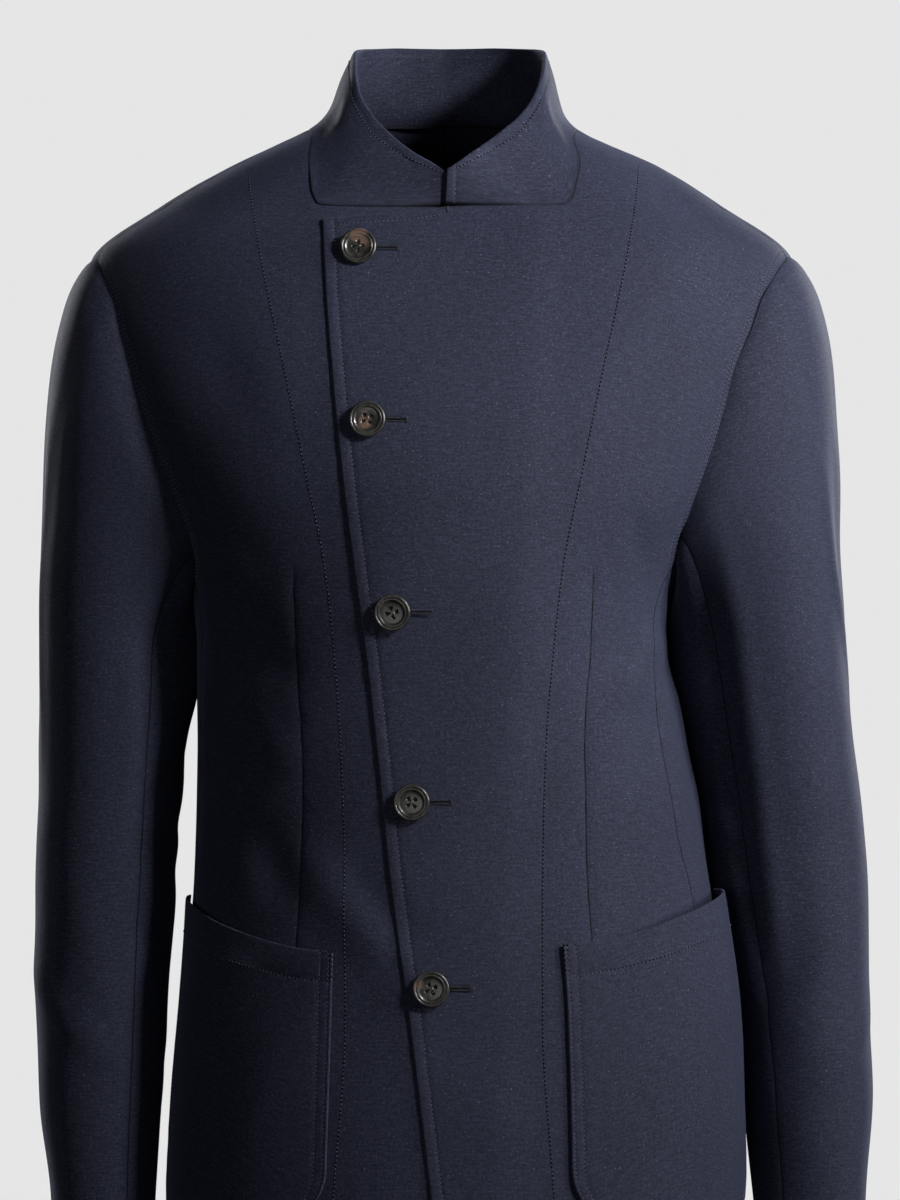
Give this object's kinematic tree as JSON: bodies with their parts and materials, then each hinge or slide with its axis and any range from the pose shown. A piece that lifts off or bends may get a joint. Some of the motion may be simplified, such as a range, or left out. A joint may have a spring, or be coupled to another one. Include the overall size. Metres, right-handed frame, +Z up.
{
  "type": "asymmetric jacket",
  "caption": "Worn-form jacket with a stand collar, a diagonal buttoned overlap, patch pockets and two-piece sleeves.",
  "frame": {"origin": "middle of the neck's base, where the wearer's shoulders carry the jacket", "axes": "+Z up, -Y to the front, +X to the wearer's left"},
  "size_m": [0.5449, 0.2744, 0.8145],
  "materials": {
    "cloth": "fine dark navy twill with a soft dull sheen",
    "button": "mottled dark brown horn, half polished"
  },
  "bodies": {
    "root": {"front_left": "cloth", "front_right": "cloth", "side_left": "cloth", "side_right": "cloth", "back_left": "cloth", "back_right": "cloth", "upper_sleeve_left": "cloth", "upper_sleeve_right": "cloth", "under_sleeve_left": "cloth", "under_sleeve_right": "cloth", "pocket_left": "cloth", "pocket_right": "cloth", "collar": "cloth", "button_1": "button", "button_2": "button", "button_3": "button", "button_4": "button", "button_5": "button"}
  },
  "joints": []
}
